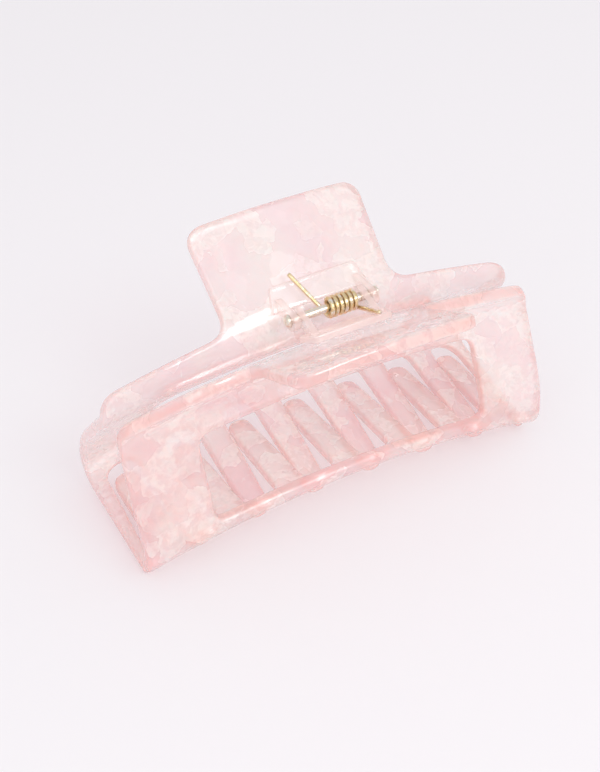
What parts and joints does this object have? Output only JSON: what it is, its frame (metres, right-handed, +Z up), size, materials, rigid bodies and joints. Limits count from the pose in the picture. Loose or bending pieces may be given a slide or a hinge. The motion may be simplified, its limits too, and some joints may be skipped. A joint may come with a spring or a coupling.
{
  "type": "hair claw clip",
  "caption": "Large rectangular hair claw clip with open-frame jaws, interleaved teeth, finger tabs and a sprung hinge.",
  "frame": {"origin": "centre of the bounding box at its bottom, on the surface the clip stands on", "axes": "+X along the hinge and the clip's length, +Y towards the rear jaw, +Z up"},
  "size_m": [0.108, 0.057, 0.0623],
  "materials": {
    "pink_acetate": "polished translucent pink with pearl flakes",
    "clear_plastic": "clear, polished",
    "gold_metal": "bright, pale gold"
  },
  "bodies": {
    "rear": {"rear_jaw": "pink_acetate", "rear_hinge_bracket": "clear_plastic", "hinge_pin": "gold_metal", "torsion_spring": "gold_metal"},
    "front": {"front_jaw": "pink_acetate", "front_hinge_bracket": "clear_plastic"}
  },
  "joints": [
    {"name": "jaw_hinge", "type": "hinge", "parent": "rear", "child": "front", "pos_m": [0, 0, 0.05035], "axis": [-1, 0, 0], "range_deg": [0, 60], "stiffness_Nm_per_rad": 0.22, "springref_deg": -51.57, "deforming": ["torsion_spring"]}
  ]
}
